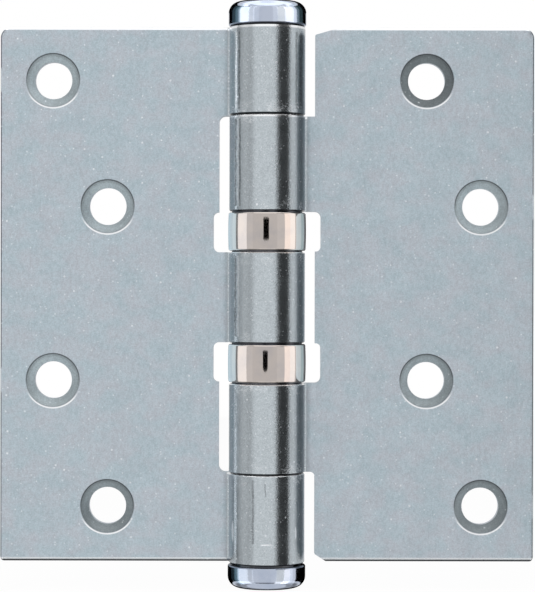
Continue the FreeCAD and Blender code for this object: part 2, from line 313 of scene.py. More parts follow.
        # Lay on the painted highlights, then the painted shade.
        colour = mix_colour(tree, highlight, colour, linear(self.highlight_colour))
        colour = mix_colour(tree, shade, colour, linear(self.shade_colour))
        smudge = smooth_step(tree, noise(tree, where, 3.0, 4.0), 0.3, 0.7, (-0.03, 0.03))
        gloss = smooth_step(tree, knuckle, 0, 1, (self.flat_roughness, self.knuckle_roughness))
        dull = math_node(tree, "MAXIMUM", math_node(tree, "MAXIMUM", rub, speck), math_node(tree, "MULTIPLY", cut, 0.5))
        gloss = math_node(tree, "ADD", gloss, math_node(tree, "MULTIPLY", dull, 0.25))
        rough = math_node(tree, "ADD", gloss, smudge)
        flakes = noise(tree, where, 0.16, 2.0)
        height = math_node(tree, "ADD", math_node(tree, "MULTIPLY", flakes, smooth_step(tree, knuckle, 0, 1, (0.6, 2.6))),
                           math_node(tree, "MULTIPLY", math_node(tree, "MAXIMUM", rub, speck), 0.8))
        bump = add_node(tree, "ShaderNodeBump", {
            "Height": height, "Strength": 0.14, "Distance": 0.05 * MM,
            "Normal": self.worn_edges(tree, coordinates["Normal"], parts[0])})
        shader = add_node(tree, "ShaderNodeBsdfPrincipled", {
            "Base Color": colour, "Metallic": 1.0, "Roughness": rough, "Normal": bump.outputs[0]})
        add_node(tree, "ShaderNodeOutputMaterial", {0: shader.outputs[0]})
        return material

    def cut_faces(self, tree: bpy.types.NodeTree, facing: Any) -> Any:
        """Pick out the countersinks, whose faces stand at 45 degrees to the sheet.

        Args:
            tree: The material's node tree.
            facing: The surface's own direction as a socket.

        Returns:
            A socket that is 1 on the countersinks.
        """
        lean = add_node(tree, "ShaderNodeSeparateXYZ", {0: facing}).outputs[1]
        off = math_node(tree, "ABSOLUTE", math_node(tree, "ADD", lean, math.sqrt(0.5)))
        return smooth_step(tree, off, 0.05, 0.12, (1, 0))

    def rim_lines(self, tree: bpy.types.NodeTree, parts: Any, facing: Any) -> tuple[Any, Any, Any]:
        """Paint light and shade on the countersinks' rims and the leaves' head and foot: painted shade lines, with a
        painted highlight line where they lean up.

        Args:
            tree: The material's node tree.
            parts: The sockets of the three coordinates, in metres.
            facing: The surface's own direction as a socket.

        Returns:
            Three sockets: the painted highlight lines, the painted shade lines, and each countersink's tone, set for
                each hole and scaled by the way it faces as painted light.
        """
        nearest: Any = 1.0
        above: Any = 0.0
        # Painted light: how far the surface leans towards the painted light's direction.
        lit = add_node(tree, "ShaderNodeVectorMath", {0: facing, 1: self.painted_light_lean}, operation="DOT_PRODUCT").outputs["Value"]
        tone: Any = 0.0
        for across, level, own_tone in self.holes_mm:
            aside = math_node(tree, "SUBTRACT", parts[0], across * MM)
            rise = math_node(tree, "SUBTRACT", parts[2], level * MM)
            away = math_node(tree, "SQRT", math_node(tree, "ADD", math_node(tree, "MULTIPLY", aside, aside),
                                                     math_node(tree, "MULTIPLY", rise, rise)))
            nearest = math_node(tree, "MINIMUM", nearest, away)
            here = math_node(tree, "LESS_THAN", away, 2 * self.countersink_mm * MM)
            above = math_node(tree, "ADD", above, math_node(tree, "MULTIPLY", rise, here))
            tone = math_node(tree, "ADD", tone, math_node(tree, "MULTIPLY", own_tone, here))
        edge = self.countersink_mm
        # Painted shade: a dark line on each countersink's rim and a band just inside it, darker towards the top of the
        # hole.
        off = math_node(tree, "ABSOLUTE", math_node(tree, "SUBTRACT", nearest, edge * MM))
        ring = smooth_step(tree, off, 0.07 * MM, 0.13 * MM, (1, 0))
        inner_shade = math_node(tree, "MULTIPLY", smooth_step(tree, nearest, (edge - 0.7) * MM, (edge - 0.1) * MM, (0, 0.35)),
                           math_node(tree, "LESS_THAN", nearest, edge * MM))
        dark = math_node(tree, "MULTIPLY", math_node(tree, "MAXIMUM", ring, inner_shade),
                         smooth_step(tree, above, -2 * MM, 2 * MM, (0.3, 0.8)))
        # Painted highlight: a bright crescent just outside the lower half of each rim.
        off = math_node(tree, "ABSOLUTE", math_node(tree, "SUBTRACT", nearest, (edge + 0.2) * MM))
        crescent_highlight = smooth_step(tree, off, 0.1 * MM, 0.16 * MM, (1, 0))
        bright = math_node(tree, "MULTIPLY", crescent_highlight, smooth_step(tree, above, -3.5 * MM, -1.5 * MM, (1, 0)))
        front = smooth_step(tree, add_node(tree, "ShaderNodeSeparateXYZ", {0: facing}).outputs[1], -0.4, -0.2, (1, 0))
        # Painted shade: a dark line along the leaves' foot; painted highlights: a bright line just above it and along
        # the head.
        foot = smooth_step(tree, parts[2], (self.foot_edge_mm - 0.03) * MM, (self.foot_edge_mm + 0.03) * MM, (0.95, 0))
        foot_highlight = smooth_step(tree, parts[2], (self.foot_edge_mm + 0.3) * MM, (self.foot_edge_mm + 0.38) * MM, (0.6, 0))
        head = smooth_step(tree, parts[2], (self.head_edge_mm - 0.05) * MM, (self.head_edge_mm + 0.05) * MM, (0, 0.95))
        ends = math_node(tree, "MULTIPLY", math_node(tree, "MAXIMUM", foot_highlight, head), front)
        dark = math_node(tree, "MAXIMUM", dark, math_node(tree, "MULTIPLY", foot, front))
        # Painted light and shade: each countersink's tone is scaled by the way it faces.
        tone = math_node(tree, "MULTIPLY", tone, math_node(tree, "ADD", lit, 0.9))
        return math_node(tree, "MAXIMUM", bright, ends), dark, tone

    def knuckle_ends(self, tree: bpy.types.NodeTree, facing: Any, level: Any) -> tuple[Any, Any]:
        """Pick out the knuckles' chamfers for painted light: a painted highlight where they lean up and on the lips,
        painted shade where they lean down and over the pin's two outer ends.

        Args:
            tree: The material's node tree.
            facing: The surface's own direction as a socket.
            level: The height along the pin as a socket.

        Returns:
            Two sockets, for the painted highlights and for the painted shade.
        """
        lean = add_node(tree, "ShaderNodeSeparateXYZ", {0: facing}).outputs[2]
        bright = math_node(tree, "MAXIMUM", smooth_step(tree, lean, 0.3, 0.6), self.lips(tree, level))
        # Painted shade over the knuckles' outer ends, standing for the gap under each cap.
        gap_shade = math_node(tree, "GREATER_THAN", math_node(tree, "ABSOLUTE", level), self.gap_shade_level_mm * MM)
        return bright, math_node(tree, "MAXIMUM", smooth_step(tree, lean, -0.6, -0.3, (1, 0)), gap_shade)

    def lips(self, tree: bpy.types.NodeTree, level: Any) -> Any:
        """Pick out the painted highlights on the lips under the upper ends of some knuckles.

        Args:
            tree: The material's node tree.
            level: The height along the pin as a socket.

        Returns:
            A socket that is 1 on the lips.
        """
        found: Any = 0.0
        for top, width in self.lips_mm:
            drop = math_node(tree, "SUBTRACT", top * MM, level)
            inside = math_node(tree, "MULTIPLY", math_node(tree, "GREATER_THAN", drop, 0.0),
                               smooth_step(tree, drop, width * MM * 0.7, width * MM * 1.3, (1, 0)))
            found = math_node(tree, "MAXIMUM", found, inside)
        return found

    def painted_glints(self, tree: bpy.types.NodeTree, parts: Any) -> Any:
        """Place the few painted glints, small bright painted highlights, on the lowest knuckle.

        Args:
            tree: The material's node tree.
            parts: The sockets of the three coordinates, in metres.

        Returns:
            A socket that is 1 in the glints.
        """
        found: Any = 0.0
        for across, level, half_width, half_height in self.painted_glints_mm:
            aside = math_node(tree, "MULTIPLY", math_node(tree, "SUBTRACT", parts[0], across * MM), 1 / (half_width * MM))
            above = math_node(tree, "MULTIPLY", math_node(tree, "SUBTRACT", parts[2], level * MM), 1 / (half_height * MM))
            away = math_node(tree, "ADD", math_node(tree, "MULTIPLY", aside, aside), math_node(tree, "MULTIPLY", above, above))
            found = math_node(tree, "MAXIMUM", found, smooth_step(tree, away, 0.4, 1.0, (1, 0)))
        return math_node(tree, "MULTIPLY", found, math_node(tree, "LESS_THAN", parts[1], 0.0))

    def worn_edges(self, tree: bpy.types.NodeTree, facing: Any, across: Any) -> Any:
        """Turn the normals of the leaves' long rounded edges most of the way to the front, as on a worn edge.

        Args:
            tree: The material's node tree.
            facing: The surface's own direction as a socket.
            across: The place along the leaf's width as a socket.

        Returns:
            The normal as a socket.
        """
        edge = self.side_edge_mm * MM
        aside = smooth_step(tree, math_node(tree, "ABSOLUTE", across), edge - 0.1 * MM, edge)
        lean = add_node(tree, "ShaderNodeSeparateXYZ", {0: facing}).outputs[1]
        share = math_node(tree, "MULTIPLY", aside, smooth_step(tree, lean, -0.4, -0.2, (0.9, 0)))
        turned = add_node(tree, "ShaderNodeVectorMath", {0: (0, -1, 0), "Scale": share}, operation="SCALE").outputs[0]
        kept = add_node(tree, "ShaderNodeVectorMath", {
            0: facing, "Scale": math_node(tree, "SUBTRACT", 1.0, share)}, operation="SCALE").outputs[0]
        both = add_node(tree, "ShaderNodeVectorMath", {0: turned, 1: kept}, operation="ADD").outputs[0]
        level = add_node(tree, "ShaderNodeVectorTransform", {0: both}, vector_type="NORMAL", convert_from="OBJECT", convert_to="WORLD")
        return add_node(tree, "ShaderNodeVectorMath", {0: level.outputs[0]}, operation="NORMALIZE").outputs[0]

    def marks(self, tree: bpy.types.NodeTree, where: Any, parts: Any, places: Sequence[Sequence[float]]) -> Any:
        """Draw broken lines along the fronts of the knuckles: painted reflections, dark or bright.

        Args:
            tree: The material's node tree.
            where: The place on the piece as a socket.
            parts: The sockets of the three coordinates, in metres.
            places: For each line its place across, low end, high end, half width and share of colour.

        Returns:
            A socket with the share of the lines' colour.
        """
        found: Any = 0.0
        wander = smooth_step(tree, noise(tree, where, 1.4, 3.0), 0.3, 0.7, (-0.06 * MM, 0.06 * MM))
        aside = math_node(tree, "ADD", parts[0], wander)
        for across, low, high, half_width, share in places:
            away = math_node(tree, "ABSOLUTE", math_node(tree, "SUBTRACT", aside, across * MM))
            line = smooth_step(tree, away, half_width * MM * 0.5, half_width * MM, (share, 0))
            along = math_node(tree, "COMPARE", parts[2], (low + high) / 2 * MM, (high - low) / 2 * MM)
            found = math_node(tree, "MAXIMUM", found, math_node(tree, "MULTIPLY", line, along))
        broken = smooth_step(tree, noise(tree, where, 0.3, 2.0), 0.35, 0.6, (0.6, 1.15))
        return math_node(tree, "MULTIPLY", math_node(tree, "MULTIPLY", found, broken), math_node(tree, "LESS_THAN", parts[1], 0.0))

    def rubbed(self, tree: bpy.types.NodeTree, where: Any, level: Any) -> Any:
        """Scatter pale rub marks along the ends of the knuckles.

        Args:
            tree: The material's node tree.
            where: The coordinate socket, in metres.
            level: The height along the pin as a socket.

        Returns:
            A socket that is 1 where the plating is rubbed.
        """
        near: Any = 1.0
        for end in self.knuckle_ends_mm:
            away = math_node(tree, "ABSOLUTE", math_node(tree, "SUBTRACT", level, end * MM))
            near = math_node(tree, "MINIMUM", near, away)
        border = smooth_step(tree, near, 0.6 * MM, 2.6 * MM, (1, 0))
        blots = smooth_step(tree, noise(tree, where, 3.2, 2.0), 0.5, 0.62)
        scratches = smooth_step(tree, noise(tree, where, 0.3, 3.0, (1.5, 1.5, 1)), 0.48, 0.6, (0.15, 0.9))
        return math_node(tree, "MULTIPLY", math_node(tree, "MULTIPLY", border, blots), scratches)

    def specks(self, tree: bpy.types.NodeTree, where: Any, sizes: Sequence[Sequence[float]]) -> Any:
        """Scatter bright crystals, of which a few to a square centimetre stand out.

        Args:
            tree: The material's node tree.
            where: The coordinate socket, in metres.
            sizes: For each size the cell, the radius, and the faintest and the fullest share.

        Returns:
            A socket that is 1 on the brightest specks and 0 elsewhere.
        """
        found: Any = 0.0
        for cell, radius, faint, full in sizes:
            cells = add_node(tree, "ShaderNodeTexVoronoi", {"Vector": where, "Scale": 1 / (cell * MM)})
            near = smooth_step(tree, cells.outputs["Distance"], radius / cell * 0.3, radius / cell, (1, 0))
            chosen = add_node(tree, "ShaderNodeSeparateColor", {0: cells.outputs["Color"]}).outputs[0]
            bright = smooth_step(tree, chosen, faint, 1.0, (0, full))
            found = math_node(tree, "MAXIMUM", found, math_node(tree, "MULTIPLY", near, bright))
        return found


@dataclass(frozen=True)
class PolishedPlate:
    """A mirror plating on turned or drawn brass or steel, with the faint haze of handling, and painted shade in a
    recess where one is given.
    """

    name: str
    colour: str
    haze_colour: str
    roughness: float = 0.04
    recess_mm: float = 0.0
    # Painted shade inside each cap's recess, within recess_mm of the axis.
    recess_shade_colour: str = "#3c3f44"

    def build(self) -> bpy.types.Material:
        """Make the material."""
        material, tree = new_material(self.name)
        where = add_node(tree, "ShaderNodeTexCoord").outputs["Object"]
        haze = smooth_step(tree, noise(tree, where, 2.5, 4.0), 0.4, 0.75)
        colour = mix_colour(tree, haze, linear(self.colour), linear(self.haze_colour))
        # Painted shade: the colour turns dark inside the recess.
        if self.recess_mm:
            parts = add_node(tree, "ShaderNodeSeparateXYZ", {0: where}).outputs
            reach = math_node(tree, "ADD", math_node(tree, "MULTIPLY", parts[0], parts[0]),
                              math_node(tree, "MULTIPLY", parts[1], parts[1]))
            low = math_node(tree, "LESS_THAN", math_node(tree, "ABSOLUTE", parts[2]), 0.046)
            inside = math_node(tree, "MULTIPLY", math_node(tree, "LESS_THAN", reach, (self.recess_mm * MM) ** 2), low)
            colour = mix_colour(tree, inside, colour, linear(self.recess_shade_colour))
        hairlines = noise(tree, where, 0.12, 2.0, (40, 40, 1))
        rough = smooth_step(tree, hairlines, 0.3, 0.8, (self.roughness, self.roughness + 0.05))
        shader = add_node(tree, "ShaderNodeBsdfPrincipled", {"Base Color": colour, "Metallic": 1.0, "Roughness": rough})
        add_node(tree, "ShaderNodeOutputMaterial", {0: shader.outputs[0]})
        return material


@dataclass(frozen=True)
class GroundSteel:
    """Bare ground steel of pins, races and balls: grey, lightly oiled, with fine lines of the grinding wheel."""

    name: str
    colour: str
    oil_colour: str
    roughness: float

    def build(self) -> bpy.types.Material:
        """Make the material."""
        material, tree = new_material(self.name)
        where = add_node(tree, "ShaderNodeTexCoord").outputs["Object"]
        film = smooth_step(tree, noise(tree, where, 1.5, 3.0), 0.35, 0.7)
        colour = mix_colour(tree, film, linear(self.colour), linear(self.oil_colour))
        lines = noise(tree, where, 0.08, 2.0, (60, 60, 1))
        rough = smooth_step(tree, lines, 0.3, 0.7, (self.roughness, self.roughness + 0.1))
        bump = add_node(tree, "ShaderNodeBump", {"Height": lines, "Strength": 0.1, "Distance": 0.01 * MM})
        shader = add_node(tree, "ShaderNodeBsdfPrincipled", {
            "Base Color": colour, "Metallic": 1.0, "Roughness": rough, "Normal": bump.outputs[0]})
        add_node(tree, "ShaderNodeOutputMaterial", {0: shader.outputs[0]})
        return material


@dataclass(frozen=True)
class MouldedNylon:
    """Natural moulded nylon of the ball cages: a milky, slightly waxy white with a light mould texture."""

    name: str = "natural moulded nylon"
    colour: str = "#e6dfcf"
    shade_colour: str = "#d3cab6"

    def build(self) -> bpy.types.Material:
        """Make the material."""
        material, tree = new_material(self.name)
        where = add_node(tree, "ShaderNodeTexCoord").outputs["Object"]
        mottle = noise(tree, where, 1.0, 3.0)
        colour = mix_colour(tree, mottle, linear(self.colour), linear(self.shade_colour))
        texture = noise(tree, where, 0.1, 2.0)
        bump = add_node(tree, "ShaderNodeBump", {"Height": texture, "Strength": 0.15, "Distance": 0.01 * MM})
        shader = add_node(tree, "ShaderNodeBsdfPrincipled", {
            "Base Color": colour, "Roughness": 0.45, "IOR": 1.53, "Normal": bump.outputs[0]})
        add_node(tree, "ShaderNodeOutputMaterial", {0: shader.outputs[0]})
        return material


@dataclass(frozen=True)
class Finishes:
    """One material of each kind, made once and shared by the pieces."""

    zinc: bpy.types.Material = field(default_factory=lambda: ZincPlate().build())
    chrome: bpy.types.Material = field(default_factory=lambda: PolishedPlate(
        "bright chromium plate", "#b4bccc", "#aab4c6", 0.09, recess_mm=6.0).build())
    nickel: bpy.types.Material = field(default_factory=lambda: PolishedPlate(
        "polished nickel plate", "#b8b0ab", "#b0aaa8").build())
    pin: bpy.types.Material = field(default_factory=lambda: GroundSteel(
        "ground pin steel", "#9a9da0", "#85888b", 0.3).build())
    # The races' dark grey is painted shade, for the deep gaps between knuckles and shells where they show.
    race: bpy.types.Material = field(default_factory=lambda: GroundSteel(
        "hardened race steel", "#5a5b60", "#4b4c52", 0.22).build())
    ball: bpy.types.Material = field(default_factory=lambda: GroundSteel(
        "lapped ball steel", "#c9cbd0", "#bfc2c8", 0.06).build())
    nylon: bpy.types.Material = field(default_factory=lambda: MouldedNylon().build())


def arc_points(centre: Sequence[float], radius: float, start: float, end: float, steps: int) -> list[tuple[float, float]]:
    """Points along an arc of a turned profile.

    Args:
        centre: The arc's centre, as reach and level in millimetres.
        radius: Its radius in millimetres.
        start: The first angle in degrees, from the reach axis.
        end: The last angle in degrees.
        steps: How many steps the arc has.

    Returns:
        The points as reach and level.
    """
    angles = [math.radians(start + (end - start) * step / steps) for step in range(steps + 1)]
    return [(centre[0] + radius * math.cos(a), centre[1] + radius * math.sin(a)) for a in angles]


def lathe(name: str, profile: Sequence[tuple[float, float]], segments: int = 128, sharp: float = 30) -> bpy.types.Object:
    """Turn a profile about the pin's axis into a closed mesh.

    Args:
        name: The new object's name.
        profile: Points as reach and level in millimetres, in order; one off the axis closes on its first.
        segments: How many sides the turned piece has.
        sharp: The angle in degrees from which an edge is left sharp.

    Returns:
        The new object, at the origin.
    """
    mesh = bpy.data.meshes.new(name)
    shape = bmesh.new()
    rings = []
    for reach, level in profile:
        turns = range(segments) if reach > 1e-6 else range(1)
        rings.append([shape.verts.new((reach * MM * math.cos(2 * math.pi * t / segments),
                                       reach * MM * math.sin(2 * math.pi * t / segments), level * MM)) for t in turns])
    pairs = list(zip(rings, rings[1:]))
    if profile[0][0] > 1e-6:
        pairs.append((rings[-1], rings[0]))
    for low, high in pairs:
        for turn in range(segments):
            after = (turn + 1) % segments
            corners = [low[turn % len(low)], low[after % len(low)], high[after % len(high)], high[turn % len(high)]]
            corners = list(dict.fromkeys(corners))
            if len(corners) > 2:
                shape.faces.new(corners)
    bmesh.ops.recalc_face_normals(shape, faces=shape.faces)
    for face in shape.faces:
        face.smooth = True
    for edge in shape.edges:
        edge.smooth = edge.calc_face_angle(0) < math.radians(sharp)
    shape.to_mesh(mesh)
    shape.free()
    piece = bpy.data.objects.new(name, mesh)
    bpy.context.scene.collection.objects.link(piece)
    return piece


def dress(piece: bpy.types.Object, material: bpy.types.Material) -> None:
    """Give a piece its one material."""
    if piece.data.materials:
        for place in range(len(piece.data.materials)):
            piece.data.materials[place] = material
    else:
        piece.data.materials.append(material)


@dataclass
class DressedLeaf:
    """One leaf with its knuckles: the CAD sheet with its plating."""

    leaf: Leaf
    finishes: Finishes

    def build(self, nodes: dict[str, bpy.types.Object]) -> bpy.types.Object:
        """Dress the CAD node.

        Args:
            nodes: The CAD nodes by name.

        Returns:
            The dressed node.
        """
        node = nodes[self.leaf.value[0]]
        dress(node, self.finishes.zinc)
        LOG.info("%s: CAD node in bright zinc", node.name)
        return node


@dataclass
class ButtonTip:
    """A polished cap on one end of the pin, turned finer than its CAD node."""

    end: PinEnd
    finishes: Finishes
    base_mm: float = 44.5
    radius_mm: float = 6.45
    height_mm: float = 4.3
    shoulder_mm: float = 1.9
    dome_mm: float = 0.2
    edge_mm: float = 0.26
    foot_mm: float = 5.9
    foot_rises_mm: tuple[float, float] = (0.08, 0.34)
    socket_mm: float = 2.01
    socket_depth_mm: float = 2.6

    def build(self) -> bpy.types.Object:
        """Turn the cap and seat it where its CAD node is."""
        node, way = self.end.value
        top = self.base_mm + self.height_mm
        reach = self.radius_mm - self.shoulder_mm
        level = top - self.dome_mm - self.shoulder_mm
        dome = [(reach * s / 12, top - self.dome_mm * (s / 12) ** 2) for s in range(12)]
        shoulder = arc_points((reach, level), self.shoulder_mm, 87, 0, 16)
        foot = self.foot_mm
        rim = self.base_mm + self.foot_rises_mm[0 if self.end is PinEnd.TOP else 1]
        edge = arc_points((self.radius_mm - self.edge_mm, rim + self.edge_mm), self.edge_mm, 0, -90, 6)
        socket_top = self.base_mm + self.socket_depth_mm
        bore = [(foot, rim), (foot, self.base_mm), (self.socket_mm, self.base_mm)]
        bore += [(self.socket_mm, socket_top), (0, socket_top)]
        profile = [(r, way * z) for r, z in dome + shoulder + edge + bore]
        cap = lathe(node + "_polished", profile)
        dress(cap, self.finishes.chrome)
        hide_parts(node)
        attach(cap, "fixed_leaf")
        LOG.info("%s: turned and polished", cap.name)
        return cap


@dataclass
class BearingUnit:
    """One bearing unit: the drawn shell, the races, the cage and the ring of balls."""

    unit: Unit
    finishes: Finishes
    crown_mm: float = 6.45
    crown_rise_mm: float = 0.06
    half_height_mm: float = 3.15
    edge_mm: float = 0.3
    bore_mm: float = 5.87
    balls: int = 10

    def build(self, nodes: dict[str, bpy.types.Object]) -> bpy.types.Object:
        """Turn the shell, dress the races and cage, and set the balls.

        Args:
            nodes: The CAD nodes by name.

        Returns:
            The shell.
        """
        name, ring_body = self.unit.value
        shell = self.shell(name)
        for end in ("_top_race", "_bottom_race"):
            dress(nodes[name + end], self.finishes.race)
        dress(nodes[name + "_cage"], self.finishes.nylon)
        self.ball_ring(name, ring_body, nodes)
        LOG.info("%s: shell turned, %d balls set by geometry nodes", name, self.balls)
        return shell

    def middle(self, node: str) -> float:
        """The level of a CAD node's middle, in millimetres."""
        low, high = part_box(node)
        return (low.z + high.z) / 2 / MM

    def shell(self, name: str) -> bpy.types.Object:
        """Turn the crowned shell with rounded edges.

        Args:
            name: The bearing unit's name.

        Returns:
            The shell, riding with its CAD node's body.
        """
        node = name + "_shell"
        middle = self.middle(node)
        end = self.crown_mm - self.crown_rise_mm
        edge_level = self.half_height_mm - self.edge_mm
        upper = arc_points((end - self.edge_mm, edge_level), self.edge_mm, 90, 6, 7)
        lower = [(r, -z) for r, z in reversed(upper)]
        rise = self.crown_rise_mm
        levels = [edge_level * (1 - step / 6) for step in range(1, 12)]
        crown = [(end + rise * (1 - (level / edge_level) ** 2), level) for level in levels]
        profile = [(self.bore_mm, self.half_height_mm)] + upper + crown + lower + [(self.bore_mm, -self.half_height_mm)]
        shell = lathe(node + "_polished", [(r, middle + z) for r, z in profile], 144)
        dress(shell, self.finishes.nickel)
        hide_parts(node)
        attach(shell, "fixed_leaf")
        return shell

    def ball_ring(self, name: str, body: str, nodes: dict[str, bpy.types.Object]) -> bpy.types.Object:
        """Set round balls on their pitch circle with geometry nodes, in place of the CAD ones.

        Args:
            name: The bearing unit's name.
            body: The body the balls roll with.
            nodes: The CAD nodes by name.

        Returns:
            The ring of balls as one mesh.
        """
        tree = bpy.data.node_groups.new("ring of balls", "GeometryNodeTree")
        for label, kind in (("Balls", "NodeSocketInt"), ("Pitch", "NodeSocketFloat"), ("Ball", "NodeSocketFloat"),
                            ("Level", "NodeSocketFloat"), ("Steel", "NodeSocketMaterial")):
            tree.interface.new_socket(label, in_out="INPUT", socket_type=kind)
        tree.interface.new_socket("Geometry", in_out="OUTPUT", socket_type="NodeSocketGeometry")
        given = add_node(tree, "NodeGroupInput").outputs
        circle = add_node(tree, "GeometryNodeMeshCircle", {"Vertices": given["Balls"], "Radius": given["Pitch"]})
        lift = add_node(tree, "ShaderNodeCombineXYZ", {"Z": given["Level"]})
        raised = add_node(tree, "GeometryNodeTransform", {"Geometry": circle.outputs[0], "Translation": lift.outputs[0]})
        ball = add_node(tree, "GeometryNodeMeshUVSphere", {"Segments": 20, "Rings": 12, "Radius": given["Ball"]})
        smooth = add_node(tree, "GeometryNodeSetShadeSmooth", {"Geometry": ball.outputs[0]})
        placed = add_node(tree, "GeometryNodeInstanceOnPoints", {"Points": raised.outputs[0], "Instance": smooth.outputs[0]})
        real = add_node(tree, "GeometryNodeRealizeInstances", {0: placed.outputs[0]})
        coated = add_node(tree, "GeometryNodeSetMaterial", {"Geometry": real.outputs[0], "Material": given["Steel"]})
        add_node(tree, "NodeGroupOutput", {0: coated.outputs[0]})
        low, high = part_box(name + "_ball_01")
        sizes = {"Balls": self.balls, "Pitch": (low.x + high.x) / 2, "Ball": (high.z - low.z) / 2,
                 "Level": (low.z + high.z) / 2, "Steel": self.finishes.ball}
        ring = from_nodes(name + "_ball_ring", tree, sizes)
        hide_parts(*[node for node in nodes if node.startswith(name + "_ball_")])
        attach(ring, body)
        return ring


def from_nodes(name: str, tree: bpy.types.NodeTree, sizes: dict[str, Any]) -> bpy.types.Object:
    """Run a geometry node tree once and keep its result as a plain mesh.

    Args:
        name: The new object's name.
        tree: The geometry node tree.
        sizes: A value for each named input of the tree.

    Returns:
        The new object, at the origin, without a modifier.
    """
    maker = bpy.data.objects.new(name + "_maker", bpy.data.meshes.new(name + "_maker"))
    bpy.context.scene.collection.objects.link(maker)
    modifier = maker.modifiers.new("nodes", "NODES")
    modifier.node_group = tree
    for item in tree.interface.items_tree:
        if item.in_out == "INPUT":
            modifier[item.identifier] = sizes[item.name]
    view = bpy.context.evaluated_depsgraph_get()
    mesh = bpy.data.meshes.new_from_object(maker.evaluated_get(view), depsgraph=view)
    mesh.name = name
    bpy.data.objects.remove(maker)
    piece = bpy.data.objects.new(name, mesh)
    bpy.context.scene.collection.objects.link(piece)
    return piece


@dataclass
class PinDress:
    """The ground pin, seen only where the knuckles part."""

    finishes: Finishes

    def build(self, nodes: dict[str, bpy.types.Object]) -> bpy.types.Object:
        """Dress the CAD pin."""
        dress(nodes["hinge_pin"], self.finishes.pin)
        LOG.info("hinge_pin: CAD node in ground steel")
        return nodes["hinge_pin"]


@dataclass(frozen=True)
class Card:
    """A curved studio card round the hinge, lit or dark, that the camera doesn't see.

    Azimuths are in degrees round the pin: 0 is straight in front, 90 to the right.
    """

    name: str
    start: float
    end: float
    strength: float
    low: float = -30.0
    high: float = 40.0
    reach: float = 0.5
    colour: str = "#ffffff"
    seen: frozenset[Group] = EVERY

    def build(self, groups: "PieceGroups") -> bpy.types.Object:
        """Make the card.

        Args:
            groups: The pieces by group.

        Returns:
            The card.
        """
        across = max(2, int(abs(self.end - self.start) / 4))
        up = 4
        places = []
        for column in range(across + 1):
            turn = math.radians(self.start + (self.end - self.start) * column / across)
            for row in range(up + 1):
                rise = math.radians(self.low + (self.high - self.low) * row / up)
                flat = self.reach * math.cos(rise)
                places.append((flat * math.sin(turn), -flat * math.cos(turn), self.reach * math.sin(rise)))
        step = up + 1
        faces = [(c * step + r, c * step + r + 1, (c + 1) * step + r + 1, (c + 1) * step + r)
                 for c in range(across) for r in range(up)]
        card = glowing_card(self.name, places, faces, self.colour, self.strength)
        groups.link(card, self.seen)
        return card


@dataclass(frozen=True)
class Panel:
    """A flat softbox that faces the hinge; its angles are those of a card.

    Its power follows from how bright it looks, where 1 is white.
    """

    name: str
    start: float
    end: float
    brightness: float
    low: float = -25.0
    high: float = 25.0
    reach: float = 0.45
    colour: str = "#ffffff"
    seen: frozenset[Group] = EVERY

    def build(self, groups: "PieceGroups") -> bpy.types.Object:
        """Make the light.

        Args:
            groups: The pieces by group.

        Returns:
            The light.
        """
        turn, rise = math.radians((self.start + self.end) / 2), math.radians((self.low + self.high) / 2)
        data = bpy.data.lights.new(self.name, "AREA")
        data.shape = "RECTANGLE"
        data.size = 2 * self.reach * math.tan(math.radians(self.end - self.start) / 2)
        data.size_y = 2 * self.reach * math.tan(math.radians(self.high - self.low) / 2)
        data.energy = self.brightness * math.pi * data.size * data.size_y
        data.color = linear(self.colour)[:3]
        light = bpy.data.objects.new(self.name, data)
        bpy.context.scene.collection.objects.link(light)
        place = Vector((math.sin(turn) * math.cos(rise), -math.cos(turn) * math.cos(rise), math.sin(rise)))
        light.matrix_world = Matrix.Translation(place * self.reach) @ place.to_track_quat("Z", "Y").to_matrix().to_4x4()
        groups.link(light, self.seen)
        return light


@dataclass(frozen=True)
class LeafGlow:
    """A weak light close before a leaf's front, in which the barrel mirrors the leaf as bright as in the photograph."""

    name: str
    start_mm: float
    end_mm: float
    brightness: float
    seen: frozenset[Group]
    half_height_mm: float = 16.0
    level_mm: float = 0.6
    colour: str = "#ffffff"

    def build(self, groups: "PieceGroups") -> bpy.types.Object:
        """Make the light, which shines to the front.

        Args:
            groups: The pieces by group.

        Returns:
            The light.
        """
        data = bpy.data.lights.new(self.name, "AREA")
        data.shape = "RECTANGLE"
        data.size = (self.end_mm - self.start_mm) * MM
        data.size_y = 2 * self.half_height_mm * MM
        data.energy = self.brightness * math.pi * data.size * data.size_y
        data.color = linear(self.colour)[:3]
        light = bpy.data.objects.new(self.name, data)
        bpy.context.scene.collection.objects.link(light)
        middle = (self.start_mm + self.end_mm) / 2 * MM
        light.matrix_world = Matrix.Translation((middle, self.level_mm * MM, 0)) @ Matrix.Rotation(math.radians(-90), 4, "X")
        groups.link(light, self.seen)
        return light


